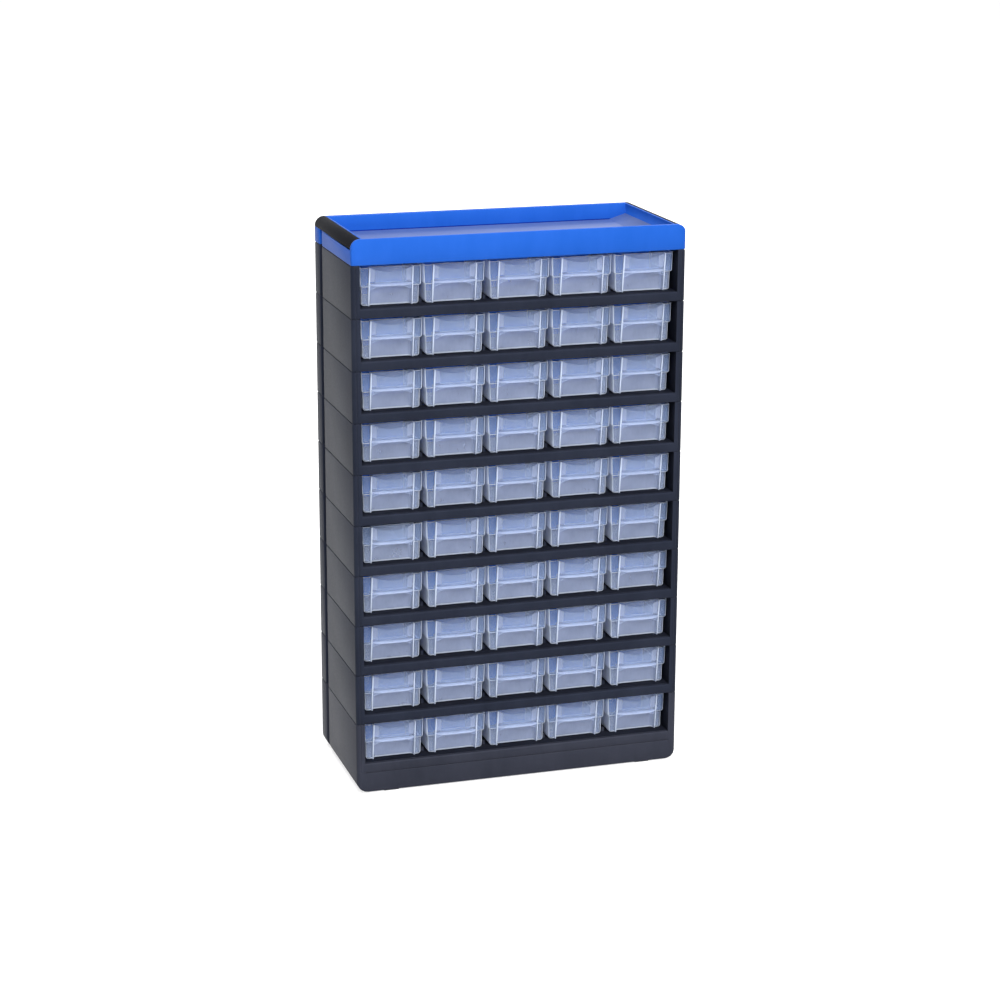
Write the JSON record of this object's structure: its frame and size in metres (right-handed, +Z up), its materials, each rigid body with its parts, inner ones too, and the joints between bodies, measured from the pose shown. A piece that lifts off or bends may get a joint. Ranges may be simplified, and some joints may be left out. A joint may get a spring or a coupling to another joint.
{
  "type": "parts bin cabinet",
  "caption": "Upright cabinet of stacked black tray modules with sliding clear drawers, each with a divider, under a shallow blue tool tray.",
  "frame": {"origin": "on the ground under the middle of the cabinet, where its feet stand", "axes": "+Z up, +Y from the drawer fronts to the rear, +X to the right as seen from the front"},
  "size_m": [0.3, 0.132, 0.495],
  "materials": {
    "black_plastic": "fine grained black moulding",
    "blue_plastic": "smooth satin blue moulding",
    "clear_plastic": "milky translucent moulding",
    "divider_plastic": "satin blue sheet",
    "rubber": "matte"
  },
  "bodies": {
    "cabinet": {"base_module": "black_plastic", "top_tray": "blue_plastic", "edge_rail_left": "black_plastic", "edge_rail_right": "black_plastic", "feet": "rubber", "stack_trays_1": "black_plastic", "stack_trays_2": "black_plastic", "stack_trays_3": "black_plastic", "stack_trays_4": "black_plastic", "stack_trays_5": "black_plastic"},
    "drawer_r01_c1": {"drawer_r01_c1": "clear_plastic"},
    "drawer_r01_c2": {"drawer_r01_c2": "clear_plastic"},
    "drawer_r01_c3": {"drawer_r01_c3": "clear_plastic"},
    "drawer_r01_c4": {"drawer_r01_c4": "clear_plastic"},
    "drawer_r01_c5": {"drawer_r01_c5": "clear_plastic"},
    "drawer_r02_c1": {"drawer_r02_c1": "clear_plastic"},
    "drawer_r02_c2": {"drawer_r02_c2": "clear_plastic"},
    "drawer_r02_c3": {"drawer_r02_c3": "clear_plastic"},
    "drawer_r02_c4": {"drawer_r02_c4": "clear_plastic"},
    "drawer_r02_c5": {"drawer_r02_c5": "clear_plastic"},
    "drawer_r03_c1": {"drawer_r03_c1": "clear_plastic"},
    "drawer_r03_c2": {"drawer_r03_c2": "clear_plastic"},
    "drawer_r03_c3": {"drawer_r03_c3": "clear_plastic"},
    "drawer_r03_c4": {"drawer_r03_c4": "clear_plastic"},
    "drawer_r03_c5": {"drawer_r03_c5": "clear_plastic"},
    "drawer_r04_c1": {"drawer_r04_c1": "clear_plastic"},
    "drawer_r04_c2": {"drawer_r04_c2": "clear_plastic"},
    "drawer_r04_c3": {"drawer_r04_c3": "clear_plastic"},
    "drawer_r04_c4": {"drawer_r04_c4": "clear_plastic"},
    "drawer_r04_c5": {"drawer_r04_c5": "clear_plastic"},
    "drawer_r05_c1": {"drawer_r05_c1": "clear_plastic"},
    "drawer_r05_c2": {"drawer_r05_c2": "clear_plastic"},
    "drawer_r05_c3": {"drawer_r05_c3": "clear_plastic"},
    "drawer_r05_c4": {"drawer_r05_c4": "clear_plastic"},
    "drawer_r05_c5": {"drawer_r05_c5": "clear_plastic"},
    "drawer_r06_c1": {"drawer_r06_c1": "clear_plastic"},
    "drawer_r06_c2": {"drawer_r06_c2": "clear_plastic"},
    "drawer_r06_c3": {"drawer_r06_c3": "clear_plastic"},
    "drawer_r06_c4": {"drawer_r06_c4": "clear_plastic"},
    "drawer_r06_c5": {"drawer_r06_c5": "clear_plastic"},
    "drawer_r07_c1": {"drawer_r07_c1": "clear_plastic"},
    "drawer_r07_c2": {"drawer_r07_c2": "clear_plastic"},
    "drawer_r07_c3": {"drawer_r07_c3": "clear_plastic"},
    "drawer_r07_c4": {"drawer_r07_c4": "clear_plastic"},
    "drawer_r07_c5": {"drawer_r07_c5": "clear_plastic"},
    "drawer_r08_c1": {"drawer_r08_c1": "clear_plastic"},
    "drawer_r08_c2": {"drawer_r08_c2": "clear_plastic"},
    "drawer_r08_c3": {"drawer_r08_c3": "clear_plastic"},
    "drawer_r08_c4": {"drawer_r08_c4": "clear_plastic"},
    "drawer_r08_c5": {"drawer_r08_c5": "clear_plastic"},
    "drawer_r09_c1": {"drawer_r09_c1": "clear_plastic"},
    "drawer_r09_c2": {"drawer_r09_c2": "clear_plastic"},
    "drawer_r09_c3": {"drawer_r09_c3": "clear_plastic"},
    "drawer_r09_c4": {"drawer_r09_c4": "clear_plastic"},
    "drawer_r09_c5": {"drawer_r09_c5": "clear_plastic"},
    "drawer_r10_c1": {"drawer_r10_c1": "clear_plastic"},
    "drawer_r10_c2": {"drawer_r10_c2": "clear_plastic"},
    "drawer_r10_c3": {"drawer_r10_c3": "clear_plastic"},
    "drawer_r10_c4": {"drawer_r10_c4": "clear_plastic"},
    "drawer_r10_c5": {"drawer_r10_c5": "clear_plastic"}
  },
  "joints": [
    {"name": "slide_r01_c1", "type": "slide", "parent": "cabinet", "child": "drawer_r01_c1", "axis": [0, -1, 0], "range_m": [0, 0.1]},
    {"name": "slide_r01_c2", "type": "slide", "parent": "cabinet", "child": "drawer_r01_c2", "axis": [0, -1, 0], "range_m": [0, 0.1]},
    {"name": "slide_r01_c3", "type": "slide", "parent": "cabinet", "child": "drawer_r01_c3", "axis": [0, -1, 0], "range_m": [0, 0.1]},
    {"name": "slide_r01_c4", "type": "slide", "parent": "cabinet", "child": "drawer_r01_c4", "axis": [0, -1, 0], "range_m": [0, 0.1]},
    {"name": "slide_r01_c5", "type": "slide", "parent": "cabinet", "child": "drawer_r01_c5", "axis": [0, -1, 0], "range_m": [0, 0.1]},
    {"name": "slide_r02_c1", "type": "slide", "parent": "cabinet", "child": "drawer_r02_c1", "axis": [0, -1, 0], "range_m": [0, 0.1]},
    {"name": "slide_r02_c2", "type": "slide", "parent": "cabinet", "child": "drawer_r02_c2", "axis": [0, -1, 0], "range_m": [0, 0.1]},
    {"name": "slide_r02_c3", "type": "slide", "parent": "cabinet", "child": "drawer_r02_c3", "axis": [0, -1, 0], "range_m": [0, 0.1]},
    {"name": "slide_r02_c4", "type": "slide", "parent": "cabinet", "child": "drawer_r02_c4", "axis": [0, -1, 0], "range_m": [0, 0.1]},
    {"name": "slide_r02_c5", "type": "slide", "parent": "cabinet", "child": "drawer_r02_c5", "axis": [0, -1, 0], "range_m": [0, 0.1]},
    {"name": "slide_r03_c1", "type": "slide", "parent": "cabinet", "child": "drawer_r03_c1", "axis": [0, -1, 0], "range_m": [0, 0.1]},
    {"name": "slide_r03_c2", "type": "slide", "parent": "cabinet", "child": "drawer_r03_c2", "axis": [0, -1, 0], "range_m": [0, 0.1]},
    {"name": "slide_r03_c3", "type": "slide", "parent": "cabinet", "child": "drawer_r03_c3", "axis": [0, -1, 0], "range_m": [0, 0.1]},
    {"name": "slide_r03_c4", "type": "slide", "parent": "cabinet", "child": "drawer_r03_c4", "axis": [0, -1, 0], "range_m": [0, 0.1]},
    {"name": "slide_r03_c5", "type": "slide", "parent": "cabinet", "child": "drawer_r03_c5", "axis": [0, -1, 0], "range_m": [0, 0.1]},
    {"name": "slide_r04_c1", "type": "slide", "parent": "cabinet", "child": "drawer_r04_c1", "axis": [0, -1, 0], "range_m": [0, 0.1]},
    {"name": "slide_r04_c2", "type": "slide", "parent": "cabinet", "child": "drawer_r04_c2", "axis": [0, -1, 0], "range_m": [0, 0.1]},
    {"name": "slide_r04_c3", "type": "slide", "parent": "cabinet", "child": "drawer_r04_c3", "axis": [0, -1, 0], "range_m": [0, 0.1]},
    {"name": "slide_r04_c4", "type": "slide", "parent": "cabinet", "child": "drawer_r04_c4", "axis": [0, -1, 0], "range_m": [0, 0.1]},
    {"name": "slide_r04_c5", "type": "slide", "parent": "cabinet", "child": "drawer_r04_c5", "axis": [0, -1, 0], "range_m": [0, 0.1]},
    {"name": "slide_r05_c1", "type": "slide", "parent": "cabinet", "child": "drawer_r05_c1", "axis": [0, -1, 0], "range_m": [0, 0.1]},
    {"name": "slide_r05_c2", "type": "slide", "parent": "cabinet", "child": "drawer_r05_c2", "axis": [0, -1, 0], "range_m": [0, 0.1]},
    {"name": "slide_r05_c3", "type": "slide", "parent": "cabinet", "child": "drawer_r05_c3", "axis": [0, -1, 0], "range_m": [0, 0.1]},
    {"name": "slide_r05_c4", "type": "slide", "parent": "cabinet", "child": "drawer_r05_c4", "axis": [0, -1, 0], "range_m": [0, 0.1]},
    {"name": "slide_r05_c5", "type": "slide", "parent": "cabinet", "child": "drawer_r05_c5", "axis": [0, -1, 0], "range_m": [0, 0.1]},
    {"name": "slide_r06_c1", "type": "slide", "parent": "cabinet", "child": "drawer_r06_c1", "axis": [0, -1, 0], "range_m": [0, 0.1]},
    {"name": "slide_r06_c2", "type": "slide", "parent": "cabinet", "child": "drawer_r06_c2", "axis": [0, -1, 0], "range_m": [0, 0.1]},
    {"name": "slide_r06_c3", "type": "slide", "parent": "cabinet", "child": "drawer_r06_c3", "axis": [0, -1, 0], "range_m": [0, 0.1]},
    {"name": "slide_r06_c4", "type": "slide", "parent": "cabinet", "child": "drawer_r06_c4", "axis": [0, -1, 0], "range_m": [0, 0.1]},
    {"name": "slide_r06_c5", "type": "slide", "parent": "cabinet", "child": "drawer_r06_c5", "axis": [0, -1, 0], "range_m": [0, 0.1]},
    {"name": "slide_r07_c1", "type": "slide", "parent": "cabinet", "child": "drawer_r07_c1", "axis": [0, -1, 0], "range_m": [0, 0.1]},
    {"name": "slide_r07_c2", "type": "slide", "parent": "cabinet", "child": "drawer_r07_c2", "axis": [0, -1, 0], "range_m": [0, 0.1]},
    {"name": "slide_r07_c3", "type": "slide", "parent": "cabinet", "child": "drawer_r07_c3", "axis": [0, -1, 0], "range_m": [0, 0.1]},
    {"name": "slide_r07_c4", "type": "slide", "parent": "cabinet", "child": "drawer_r07_c4", "axis": [0, -1, 0], "range_m": [0, 0.1]},
    {"name": "slide_r07_c5", "type": "slide", "parent": "cabinet", "child": "drawer_r07_c5", "axis": [0, -1, 0], "range_m": [0, 0.1]},
    {"name": "slide_r08_c1", "type": "slide", "parent": "cabinet", "child": "drawer_r08_c1", "axis": [0, -1, 0], "range_m": [0, 0.1]},
    {"name": "slide_r08_c2", "type": "slide", "parent": "cabinet", "child": "drawer_r08_c2", "axis": [0, -1, 0], "range_m": [0, 0.1]},
    {"name": "slide_r08_c3", "type": "slide", "parent": "cabinet", "child": "drawer_r08_c3", "axis": [0, -1, 0], "range_m": [0, 0.1]},
    {"name": "slide_r08_c4", "type": "slide", "parent": "cabinet", "child": "drawer_r08_c4", "axis": [0, -1, 0], "range_m": [0, 0.1]},
    {"name": "slide_r08_c5", "type": "slide", "parent": "cabinet", "child": "drawer_r08_c5", "axis": [0, -1, 0], "range_m": [0, 0.1]},
    {"name": "slide_r09_c1", "type": "slide", "parent": "cabinet", "child": "drawer_r09_c1", "axis": [0, -1, 0], "range_m": [0, 0.1]},
    {"name": "slide_r09_c2", "type": "slide", "parent": "cabinet", "child": "drawer_r09_c2", "axis": [0, -1, 0], "range_m": [0, 0.1]},
    {"name": "slide_r09_c3", "type": "slide", "parent": "cabinet", "child": "drawer_r09_c3", "axis": [0, -1, 0], "range_m": [0, 0.1]},
    {"name": "slide_r09_c4", "type": "slide", "parent": "cabinet", "child": "drawer_r09_c4", "axis": [0, -1, 0], "range_m": [0, 0.1]},
    {"name": "slide_r09_c5", "type": "slide", "parent": "cabinet", "child": "drawer_r09_c5", "axis": [0, -1, 0], "range_m": [0, 0.1]},
    {"name": "slide_r10_c1", "type": "slide", "parent": "cabinet", "child": "drawer_r10_c1", "axis": [0, -1, 0], "range_m": [0, 0.1]},
    {"name": "slide_r10_c2", "type": "slide", "parent": "cabinet", "child": "drawer_r10_c2", "axis": [0, -1, 0], "range_m": [0, 0.1]},
    {"name": "slide_r10_c3", "type": "slide", "parent": "cabinet", "child": "drawer_r10_c3", "axis": [0, -1, 0], "range_m": [0, 0.1]},
    {"name": "slide_r10_c4", "type": "slide", "parent": "cabinet", "child": "drawer_r10_c4", "axis": [0, -1, 0], "range_m": [0, 0.1]},
    {"name": "slide_r10_c5", "type": "slide", "parent": "cabinet", "child": "drawer_r10_c5", "axis": [0, -1, 0], "range_m": [0, 0.1]}
  ]
}
